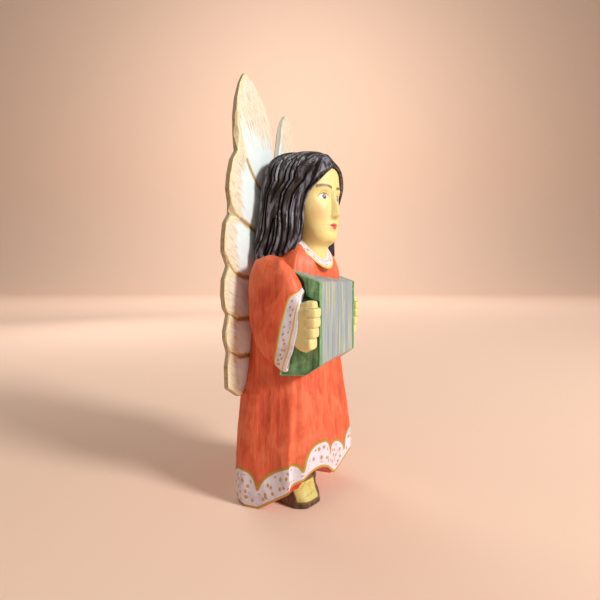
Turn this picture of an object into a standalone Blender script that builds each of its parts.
"""Carved and painted wooden angel playing a small accordion, built as glued and dowelled blocks.

The figure stands on z = 0 and faces -Y; its right side is -X. The origin is the middle of its
bounding box, on the ground. Every block is a separate solid, and blocks that touch on the real
figure keep GAP between them here.
"""

import math

import bmesh
import bpy
from mathutils import Matrix, Vector

MM = 0.001

# Driving dimensions, in millimetres.
GAP = 0.3

SKIRT_HALF_WIDTH = 31.0
SKIRT_FRONT = -27.3
SKIRT_BACK = 27.0
WAIST_Z = 72.0
BACK_CORNER = 6.5           # radius of the dress's back corners
TORSO_HALF_WIDTH = 24.0     # the flat sides that the arms are glued to
SHOULDER_Z = 130.5

UNDERSIDE_START_Y = 14.0    # the underside is flat on the ground behind this line
UNDERSKIRT_Z = 12.5         # and rises to this height in front
UNDERSKIRT_Y = -6.0
ARCH_X = 16.5
ARCH_HALF_WIDTH = 14.3
ARCH_TOP_Z = 22.5
ARCH_BACK_Y = -13.5

SHOE_INNER_X = 6.0
SHOE_OUTER_X = 22.0
SHOE_HEEL_Y = 8.0
SHOE_TOE_Z = 3.0
RIGHT_TOE_Y = -13.5
LEFT_TOE_Y = -8.5           # the left foot stands a little behind the right one

ACCORDION_FRONT = -20.3
ACCORDION_BACK = 0.5
ACCORDION_BOTTOM_Z = 70.0
ACCORDION_FRONT_TOP_Z = 116.5
ACCORDION_BACK_TOP_Z = 124.0
BELLOWS_HALF_WIDTH = 25.9
END_THICKNESS = 3.4
ACCORDION_SKEW = -0.03       # its left side stands a little further forward

ARM_OUTER_X = 38.5
HAND_OUTER_X = 38.6
LEFT_FORWARD = 3.5          # the left sleeve and hand reach further round the accordion

WING_THICKNESS = 3.6
WING_SWEEP = math.radians(7.4)
WING_FACE_X = 22.0
WING_FACE_Y = 18.3          # front face of the board at WING_FACE_X and WING_LEAN_Z
WING_LEAN_Z = 195.0
WING_LEAN = 0.034           # how far the board stands further back for each mm lower down
WING_TAPER = 0.0015         # how much narrower the board is for each mm below WING_TAPER_Z
WING_TAPER_Z = 198.0
WING_SEAT_Z = 58.5

NECK_RADIUS = 10.3
NECK_Y = -3.4
NECK_SOCKET_Z = 124.0
FACE_TURN = math.radians(18.0)      # the head looks a little to its right
HAIR_SKEW = 0.2                     # so its left side hair hangs further forward
HAIR_BOTTOM_Z = 131.0
HEAD_TOP_Z = 186.0

DOWEL_RADIUS = 2.7
SMALL_DOWEL_RADIUS = 1.8

ORANGE = (0.70, 0.12, 0.055, 1.0)
SKIN = (0.83, 0.69, 0.33, 1.0)
HAIR = (0.030, 0.020, 0.018, 1.0)
GREEN = (0.10, 0.27, 0.13, 1.0)
GREY = (0.36, 0.42, 0.43, 1.0)
WHITE = (0.80, 0.80, 0.72, 1.0)
BROWN = (0.13, 0.06, 0.04, 1.0)
BARE_WOOD = (0.62, 0.44, 0.27, 1.0)


def clear_scene():
    for old in list(bpy.data.objects):
        bpy.data.objects.remove(old, do_unlink=True)


def new_collection(name):
    collection = bpy.data.collections.new(name)
    bpy.context.scene.collection.children.link(collection)
    return collection


def painted_wood(name, colour, roughness=0.5):
    material = bpy.data.materials.new(name)
    material.use_nodes = True
    shader = material.node_tree.nodes["Principled BSDF"]
    shader.inputs["Base Color"].default_value = colour
    shader.inputs["Roughness"].default_value = roughness
    shader.inputs["Metallic"].default_value = 0.0
    return material


clear_scene()
PARTS = new_collection("carved_angel")
CUTTERS = new_collection("cutters")


def metres(point):
    x, y, z = point
    return Vector((x, y, z)) * MM


def add_object(name, mesh, colour=None):
    """Link a mesh as a part when it has a colour, and as a hidden cutter when it has none."""
    item = bpy.data.objects.new(name, mesh)
    if colour is None:
        CUTTERS.objects.link(item)
        item.hide_render = True
        item.display_type = "WIRE"
    else:
        PARTS.objects.link(item)
        mesh.materials.append(painted_wood(name + "_paint", colour))
    return item


def finish_mesh(name, mesh_data):
    bmesh.ops.recalc_face_normals(mesh_data, faces=mesh_data.faces)
    mesh = bpy.data.meshes.new(name)
    mesh_data.to_mesh(mesh)
    mesh_data.free()
    return mesh


def loft(name, rings, colour=None):
    """Skin a closed solid over rings of points that all have the same count."""
    solid = bmesh.new()
    rows = [[solid.verts.new(metres(point)) for point in ring] for ring in rings]
    count = len(rows[0])
    for lower, upper in zip(rows, rows[1:]):
        for i in range(count):
            j = (i + 1) % count
            solid.faces.new((lower[i], lower[j], upper[j], upper[i]))
    solid.faces.new(list(reversed(rows[0])))
    solid.faces.new(rows[-1])
    return add_object(name, finish_mesh(name, solid), colour)


def squared_ring(z, half_width, front, back, power=2.6, count=28):
    """A level ring, round in front and behind and flatter at the sides as power grows."""
    middle = (front + back) / 2.0
    depth = (back - front) / 2.0
    ring = []
    for i in range(count):
        angle = 2.0 * math.pi * (i + 0.5) / count
        c, s = math.cos(angle), math.sin(angle)
        x = half_width * math.copysign(abs(c) ** (2.0 / power), c)
        y = middle + depth * math.copysign(abs(s) ** (2.0 / power), s)
        ring.append((x, y, z))
    return ring


def dress_ring(z, half_width, front, ridge, back, corner=BACK_CORNER):
    """A level ring of the dress: a half ellipse in front of the ridges, flat sides, a round-cornered back."""
    ring = []
    for i in range(17):
        angle = math.pi * i / 16.0
        ring.append((-half_width * math.cos(angle), ridge - (ridge - front) * math.sin(angle), z))
    for side in (1, -1):
        centre_x, centre_y = side * (half_width - corner), back - corner
        for i in range(5):
            angle = math.pi / 2.0 * (i / 4.0 if side > 0 else 1.0 - i / 4.0)
            ring.append((centre_x + side * corner * math.cos(angle),
                         centre_y + corner * math.sin(angle), z))
    return ring


def plate(name, outline, thickness, transform, colour=None):
    """A flat outline with half its thickness on each side, placed by a transform in millimetres."""
    curve = bpy.data.curves.new(name + "_outline", "CURVE")
    curve.dimensions = "2D"
    curve.fill_mode = "BOTH"
    curve.extrude = thickness * MM / 2.0
    spline = curve.splines.new("POLY")
    spline.points.add(len(outline) - 1)
    for point, (u, v) in zip(spline.points, outline):
        point.co = (u * MM, v * MM, 0.0, 1.0)
    spline.use_cyclic_u = True
    guide = bpy.data.objects.new(name + "_outline", curve)
    CUTTERS.objects.link(guide)
    bpy.context.view_layer.update()
    mesh = bpy.data.meshes.new_from_object(guide.evaluated_get(bpy.context.evaluated_depsgraph_get()))
    bpy.data.objects.remove(guide, do_unlink=True)
    solid = bmesh.new()
    solid.from_mesh(mesh)
    bpy.data.meshes.remove(mesh)
    bmesh.ops.remove_doubles(solid, verts=solid.verts, dist=0.00001)
    in_metres = Matrix.Scale(MM, 4) @ transform @ Matrix.Scale(1.0 / MM, 4)
    bmesh.ops.transform(solid, matrix=in_metres, verts=solid.verts)
    return add_object(name, finish_mesh(name, solid), colour)


def side_plate(name, outline, x_from, x_to, colour=None, skew=0.0):
    """A plate whose outline is drawn in the YZ plane, between two X places; skew moves Y with X."""
    upright = Matrix(((0, 0, 1, 0), (1, 0, 0, 0), (0, 1, 0, 0), (0, 0, 0, 1)))
    place = Matrix.Translation(((x_from + x_to) / 2.0, 0.0, 0.0))
    skewed = Matrix(((1, 0, 0, 0), (skew, 1, 0, 0), (0, 0, 1, 0), (0, 0, 0, 1)))
    return plate(name, outline, abs(x_to - x_from), skewed @ place @ upright, colour)


def accordion_plate(name, x_from, x_to, grow=0.0, colour=None):
    return side_plate(name, accordion_outline(grow), x_from, x_to, colour, ACCORDION_SKEW)


def rod(name, start, end, radius, colour=None, sides=16):
    """A straight round rod between two points."""
    axis = Vector(end) - Vector(start)
    solid = bmesh.new()
    bmesh.ops.create_cone(solid, cap_ends=True, segments=sides, radius1=radius * MM,
                          radius2=radius * MM, depth=axis.length * MM)
    turn = Vector((0, 0, 1)).rotation_difference(axis).to_matrix().to_4x4()
    middle = metres((Vector(start) + Vector(end)) / 2.0)
    bmesh.ops.transform(solid, matrix=Matrix.Translation(middle) @ turn, verts=solid.verts)
    return add_object(name, finish_mesh(name, solid), colour)


def combine(item, other, operation="DIFFERENCE"):
    boolean = item.modifiers.new(operation.lower() + "_" + other.name, "BOOLEAN")
    boolean.operation = operation
    boolean.solver = "EXACT"
    boolean.object = other
    return item


def drill(items, name, start, end, radius, colour=BARE_WOOD):
    """Put a dowel between two blocks and cut its hole, a GAP wider all round, in both."""
    direction = (Vector(end) - Vector(start)).normalized()
    hole = rod(name + "_hole", Vector(start) - direction * GAP, Vector(end) + direction * GAP,
               radius + GAP)
    for item in items:
        combine(item, hole)
    return rod(name, start, end, radius, colour)


# ---------------------------------------------------------------- outlines in the YZ plane
def accordion_outline(grow=0.0):
    return [
        (ACCORDION_FRONT - grow, ACCORDION_FRONT_TOP_Z + grow),
        (ACCORDION_BACK + grow, ACCORDION_BACK_TOP_Z + grow),
        (ACCORDION_BACK + grow, ACCORDION_BOTTOM_Z - grow),
        (ACCORDION_FRONT + 7.3, ACCORDION_BOTTOM_Z + 1.0 - grow),
        (ACCORDION_FRONT - grow, ACCORDION_BOTTOM_Z + 6.0 - grow),
    ]


def shoe_outline(toe_y):
    rise = UNDERSKIRT_Z / (UNDERSIDE_START_Y - UNDERSKIRT_Y)
    clearance = GAP * math.hypot(1.0, rise) + 0.05
    top = UNDERSKIRT_Z - clearance
    return [
        (toe_y, 0.0), (toe_y, SHOE_TOE_Z), (toe_y + 2.0, top), (UNDERSKIRT_Y, top),
        (SHOE_HEEL_Y, (UNDERSIDE_START_Y - SHOE_HEEL_Y) * rise - clearance), (SHOE_HEEL_Y, 0.0),
    ]


# ---------------------------------------------------------------- body
def upright(offset):
    """Stands a flat outline up in the XZ plane, its middle plane at y = offset."""
    return Matrix(((1, 0, 0, 0), (0, 0, -1, offset), (0, 1, 0, 0), (0, 0, 0, 1)))


def wing_frame(side):
    """The wing board's own frame: its face is swept back outward and stands further back low down."""
    place = Matrix.Translation((side * WING_FACE_X, WING_FACE_Y + WING_LEAN * WING_LEAN_Z, 0.0))
    lean = Matrix(((1, 0, 0, 0), (0, 1, -WING_LEAN, 0), (0, 0, 1, 0), (0, 0, 0, 1)))
    return place @ lean @ Matrix.Rotation(side * WING_SWEEP, 4, "Z")


def wing_face_y(x, z):
    """Where the board's front face is at a distance x from the middle and a height z."""
    lean = WING_LEAN * (WING_LEAN_Z - z)
    return WING_FACE_Y + lean + (x - WING_FACE_X) * math.tan(WING_SWEEP)


def wing_room(side, name):
    """Everything behind the wing's face, with a GAP: the seat that is cut for it."""
    outline = [(-side * (WING_FACE_X + 2.0), WING_SEAT_Z), (side * 50.0, WING_SEAT_Z),
               (side * 50.0, 200.0), (-side * (WING_FACE_X + 2.0), 200.0)]
    return plate(name, outline, 40.0, wing_frame(side) @ upright(20.0 - GAP))


def make_body():
    sections = [
        (0.0, SKIRT_HALF_WIDTH - 1.5, -20.0, -6.0, SKIRT_BACK - 0.7),
        (4.0, SKIRT_HALF_WIDTH - 0.5, -21.0, -6.0, SKIRT_BACK),
        (UNDERSKIRT_Z, SKIRT_HALF_WIDTH, -22.5, -6.0, SKIRT_BACK),
        (24.0, SKIRT_HALF_WIDTH - 0.2, SKIRT_FRONT, -6.0, SKIRT_BACK),
        (42.0, 29.4, -25.0, -4.5, SKIRT_BACK),
        (WAIST_Z, 25.5, -22.8, 0.0, 25.5),
        (95.0, 25.0, -18.0, 0.0, 22.5),
        (116.0, 26.0, -14.5, 0.0, 22.0),
        (125.0, 25.4, -14.5, -1.0, 21.0),
        (SHOULDER_Z, 21.5, -11.0, -2.0, 16.5),
    ]
    rings = [dress_ring(*section) for section in sections]
    body = loft("body", rings, ORANGE)

    # The underside rises to the front, and the front hem arches over each shoe.
    underside = [(UNDERSIDE_START_Y + 1.6, -1.0), (UNDERSKIRT_Y, UNDERSKIRT_Z),
                 (-60.0, UNDERSKIRT_Z), (-60.0, -1.0)]
    combine(body, side_plate("underside_cut", underside, -60.0, 60.0))
    for side, name in ((-1, "right"), (1, "left")):
        arch = [(side * ARCH_X + ARCH_HALF_WIDTH * math.cos(angle),
                 UNDERSKIRT_Z - 1.0 + (ARCH_TOP_Z - UNDERSKIRT_Z + 1.0) * math.sin(angle))
                for angle in (math.pi * i / 10.0 for i in range(11))]
        combine(body, plate(name + "_hem_arch", arch, 30.0, upright(ARCH_BACK_Y - 15.0)))

    # Flat seats for the arms, the accordion and the wings.
    for side, name in ((-1, "right"), (1, "left")):
        seat = [(-60.0, WAIST_Z - 0.5), (60.0, WAIST_Z - 0.5), (60.0, 140.0), (-60.0, 140.0)]
        combine(body, side_plate(name + "_arm_seat", seat, side * TORSO_HALF_WIDTH, side * 60.0))
        combine(body, wing_room(side, name + "_wing_seat"))
    combine(body, accordion_plate("accordion_seat", -60.0, 60.0, GAP))
    lip = ACCORDION_BOTTOM_Z + 5.7
    clear_front = [(-60.0, lip), (ACCORDION_BACK, lip), (ACCORDION_FRONT, ACCORDION_FRONT_TOP_Z),
                   (-60.0, ACCORDION_FRONT_TOP_Z)]
    combine(body, side_plate("accordion_front_room", clear_front, -60.0, 60.0, skew=ACCORDION_SKEW))

    # The rolled collar lies round the neck, lower in front.
    collar_mesh = bmesh.new()
    turn = Matrix.Rotation(math.radians(24.0), 4, "X")
    rows = []
    for i in range(24):
        around = 2.0 * math.pi * i / 24
        centre = Vector((12.8 * math.cos(around), 12.4 * math.sin(around), 0.0))
        outward = Vector((math.cos(around), math.sin(around), 0.0))
        row = []
        for j in range(8):
            section = 2.0 * math.pi * j / 8
            offset = outward * (2.0 * math.cos(section)) + Vector((0, 0, 2.6 * math.sin(section)))
            point = turn @ (centre + offset) + Vector((0.0, NECK_Y, 130.0))
            row.append(collar_mesh.verts.new(metres(point)))
        rows.append(row)
    for i, row in enumerate(rows):
        following = rows[(i + 1) % len(rows)]
        for j in range(8):
            k = (j + 1) % 8
            collar_mesh.faces.new((row[j], following[j], following[k], row[k]))
    collar = add_object("collar_roll", finish_mesh("collar_roll", collar_mesh))
    combine(body, collar, "UNION")
    hair_room = rod("hair_room", (0.0, 14.0, HAIR_BOTTOM_Z - GAP), (0.0, 14.0, 160.0), 28.0)
    neck_room = rod("neck_socket", (0.0, NECK_Y, NECK_SOCKET_Z - GAP), (0.0, NECK_Y, 150.0),
                    NECK_RADIUS + GAP, sides=24)
    combine(body, hair_room)
    combine(body, neck_room)
    return body


# ---------------------------------------------------------------- head
def make_head():
    """Face, neck and long hair, carved as one block with a round neck tenon."""
    hair_sections = [
        (HAIR_BOTTOM_Z, 23.9, -4.5, 18.7, 5.0),
        (140.0, 23.4, -7.5, 18.6, 4.6),
        (155.0, 22.3, -10.0, 18.3, 4.1),
        (168.0, 20.9, -14.5, 18.0, 3.4),
        (176.5, 18.7, -19.5, 17.2, 3.0),
        (182.5, 13.9, -16.0, 13.0, 2.6),
        (HEAD_TOP_Z, 5.9, -9.0, 5.4, 2.3),
    ]
    rings = []
    for z, width, front, back, power in hair_sections:
        ring = squared_ring(z, width, front, back, power, 24)
        rings.append([(x, y - HAIR_SKEW * x * (back - y) / (back - front), z) for x, y, z in ring])
    head = loft("head", rings, HAIR)
    face_sections = [
        (136.5, 6.0, -15.5, -4.0, 2.2),
        (140.5, 10.5, -19.0, -2.0, 2.3),
        (150.0, 13.8, -21.0, 0.0, 2.4),
        (162.0, 15.5, -21.5, 0.0, 2.4),
        (174.0, 14.5, -20.5, 0.0, 2.4),
        (180.0, 11.0, -16.0, 0.0, 2.3),
    ]
    turn = Matrix.Translation((0.0, NECK_Y, 0.0)) @ Matrix.Rotation(-FACE_TURN, 4, "Z")
    turn = turn @ Matrix.Translation((0.0, -NECK_Y, 0.0))
    rings = []
    for z, width, front, back, power in face_sections:
        ring = squared_ring(z, width, front, back, power, 20)
        rings.append([tuple(turn @ Vector(point)) for point in ring])
    combine(head, loft("face_form", rings), "UNION")
    combine(head, rod("neck_form", (0.0, NECK_Y, NECK_SOCKET_Z), (0.0, NECK_Y, 150.0), NECK_RADIUS,
                      sides=24), "UNION")
    for side, name in ((-1, "right"), (1, "left")):
        combine(head, wing_room(side, name + "_hair_wing_room"))
    return head


# ---------------------------------------------------------------- arms and hands
def sleeve_outline(forward):
    """Seen from the side; the front edge is the cuff, and forward stretches the sleeve from its back."""
    outline = [(-11.0, 112.5), (-6.5, 121.0), (0.0, 127.0), (8.0, 127.8), (13.5, 123.5),
               (16.5, 112.0), (16.7, 100.0), (15.0, 89.0), (11.0, 81.0), (5.0, 76.0), (-0.5, 73.3),
               (-3.0, 72.6)]
    back, front = 16.7, -11.0
    stretch = 1.0 + forward / (back - front)
    return [(back + (y - back) * stretch, z) for y, z in outline]


def make_arm(side, name, forward):
    """A bell sleeve: its front is the cuff, with a flat pocket for the wrist."""
    pivot_y, pivot_z = -5.0 - 0.8 * forward, 96.0
    levels = [(TORSO_HALF_WIDTH + GAP, 1.0), (31.0, 1.0), (34.5, 0.93), (37.0, 0.80),
              (ARM_OUTER_X, 0.58)]
    rings = []
    for x, scale in levels:
        rings.append([(side * x, pivot_y + (y - pivot_y) * scale, pivot_z + (z - pivot_z) * scale)
                      for y, z in sleeve_outline(forward)])
    arm = loft(name + "_arm", rings, ORANGE)
    room = accordion_plate(name + "_accordion_room", 0.0,
                           side * (BELLOWS_HALF_WIDTH + END_THICKNESS + 2 * GAP), GAP)
    combine(arm, room)
    combine(arm, wing_room(side, name + "_arm_wing_room"))
    x_inner, x_outer = 30.7, 37.2
    pocket = [wrist_ring(side, y, x_inner, x_outer, 85.0, 104.0) for y in (-20.0, 0.0)]
    combine(arm, loft(name + "_cuff_pocket", pocket))
    return arm


def wrist_ring(side, y, x_inner, x_outer, z_low, z_high, count=12):
    middle_x, middle_z = (x_inner + x_outer) / 2.0, (z_low + z_high) / 2.0
    half_x, half_z = (x_outer - x_inner) / 2.0, (z_high - z_low) / 2.0
    ring = []
    for i in range(count):
        angle = 2.0 * math.pi * (i + 0.5) / count
        c, s = math.cos(angle), math.sin(angle)
        ring.append((side * (middle_x + half_x * math.copysign(abs(c) ** 0.7, c)), y,
                     middle_z + half_z * math.copysign(abs(s) ** 0.7, s)))
    return ring


def make_hand(side, name, forward):
    """A closed fist: palm and wrist tenon, four stacked fingers and a thumb on top."""
    palm = [
        wrist_ring(side, -1.0, 31.2, 36.7, 86.0, 103.0),
        wrist_ring(side, -9.0 - forward, 31.0, 36.9, 85.5, 103.5),
        wrist_ring(side, -13.0 - forward, 30.0, 38.2, 83.0, 105.0),
        wrist_ring(side, -17.0 - forward, 30.0, 38.2, 82.5, 105.0),
    ]
    hand = loft(name + "_hand", palm, SKIN)
    for number in range(4):
        low = 82.0 + 5.5 * number
        tip = -21.3 - forward + 0.5 * abs(number - 1.5)
        rings = [wrist_ring(side, -14.5 - forward, 30.3, 37.6, low + 0.4, low + 5.4, 10),
                 wrist_ring(side, -16.0 - forward, 29.9, HAND_OUTER_X, low, low + 5.9, 10),
                 wrist_ring(side, tip + 1.2, 29.9, HAND_OUTER_X - 0.3, low, low + 5.9, 10),
                 wrist_ring(side, tip, 30.6, 37.4, low + 0.8, low + 5.1, 10)]
        combine(hand, loft("%s_finger_%d" % (name, number + 1), rings), "UNION")
    thumb = [wrist_ring(side, -11.5 - forward, 31.5, 36.0, 103.0, 106.2, 10),
             wrist_ring(side, -13.0 - forward, 31.0, 36.8, 102.5, 107.6, 10),
             wrist_ring(side, -17.5 - forward, 31.0, 36.8, 103.0, 107.8, 10),
             wrist_ring(side, -19.0 - forward, 31.8, 36.0, 103.8, 107.0, 10)]
    combine(hand, loft(name + "_thumb", thumb), "UNION")
    return hand


# ---------------------------------------------------------------- accordion
def make_accordion():
    bellows = accordion_plate("accordion_bellows", -BELLOWS_HALF_WIDTH, BELLOWS_HALF_WIDTH,
                              colour=GREY)
    ends = []
    for side, name in ((-1, "right"), (1, "left")):
        inner = BELLOWS_HALF_WIDTH + GAP
        end = accordion_plate("accordion_%s_end" % name, side * inner,
                              side * (inner + END_THICKNESS), colour=GREEN)
        ends.append(end)
    return bellows, ends


# ---------------------------------------------------------------- wings
def wing_outline():
    """Seen from the front, for the left wing: distance outward and height, clockwise from the tip."""
    return [
        (28.6, 220.0), (32.0, 214.5), (35.0, 206.0), (36.0, 197.0), (36.0, 188.0), (35.0, 180.5),
        (39.0, 176.0), (41.2, 168.0), (42.2, 161.5), (40.6, 154.5), (41.2, 149.5),
        (45.4, 145.0), (46.8, 137.0), (47.0, 131.0), (43.0, 124.0),
        (47.2, 117.5), (48.0, 110.0), (46.6, 103.5), (43.6, 100.0),
        (46.8, 92.0), (46.5, 88.0), (43.6, 81.0),
        (45.6, 74.0), (45.5, 65.0), (34.0, 59.0),
        (13.0, 59.0), (10.0, 75.0), (8.0, 120.0), (3.0, 160.0), (1.6, 183.0), (4.0, 192.0),
        (7.4, 204.0), (12.2, 211.0), (20.0, 217.0), (25.0, 219.6),
    ]


def make_wing(side, name):
    outline = []
    for u, v in wing_outline():
        u *= 1.0 - WING_TAPER * max(0.0, WING_TAPER_Z - v)
        outline.append((side * (u - WING_FACE_X), v))
    place = wing_frame(side) @ upright(WING_THICKNESS / 2.0)
    return plate(name + "_wing", outline, WING_THICKNESS, place, WHITE)


# ---------------------------------------------------------------- shoes
def make_shoe(side, name, toe_y):
    shoe = side_plate(name + "_shoe", shoe_outline(toe_y), side * SHOE_INNER_X, side * SHOE_OUTER_X,
                      BROWN)
    bevel = shoe.modifiers.new("knife_bevel", "BEVEL")
    bevel.width = 1.4 * MM
    bevel.segments = 1
    bevel.limit_method = "ANGLE"
    bevel.angle_limit = math.radians(50.0)
    return shoe


def main():
    body = make_body()
    make_head()
    bellows, _ends = make_accordion()
    drill((body, bellows), "accordion_dowel", (0.0, -8.0, 96.0), (0.0, 9.0, 96.0), DOWEL_RADIUS)
    for side, name, forward, toe_y in ((-1, "right", 0.0, RIGHT_TOE_Y),
                                       (1, "left", LEFT_FORWARD, LEFT_TOE_Y)):
        arm = make_arm(side, name, forward)
        hand = make_hand(side, name, forward)
        wing = make_wing(side, name)
        shoe = make_shoe(side, name, toe_y)
        drill((body, arm), name + "_shoulder_dowel", (side * 15.0, 8.0, 114.0),
              (side * 33.0, 8.0, 114.0), DOWEL_RADIUS)
        drill((arm, hand), name + "_wrist_dowel", (side * 34.0, -13.0, 94.5),
              (side * 34.0, 8.0, 94.5), SMALL_DOWEL_RADIUS)
        for level, z in (("upper", 121.0), ("lower", 84.0)):
            drill((body, wing), "%s_%s_wing_dowel" % (name, level), (side * 15.0, 9.5, z),
                  (side * 15.0, wing_face_y(15.0, z) + 1.2, z), SMALL_DOWEL_RADIUS)
        drill((body, shoe), name + "_shoe_dowel", (side * 14.0, 2.5, 2.0), (side * 14.0, 2.5, 17.0),
              SMALL_DOWEL_RADIUS)
    bpy.context.view_layer.update()


main()
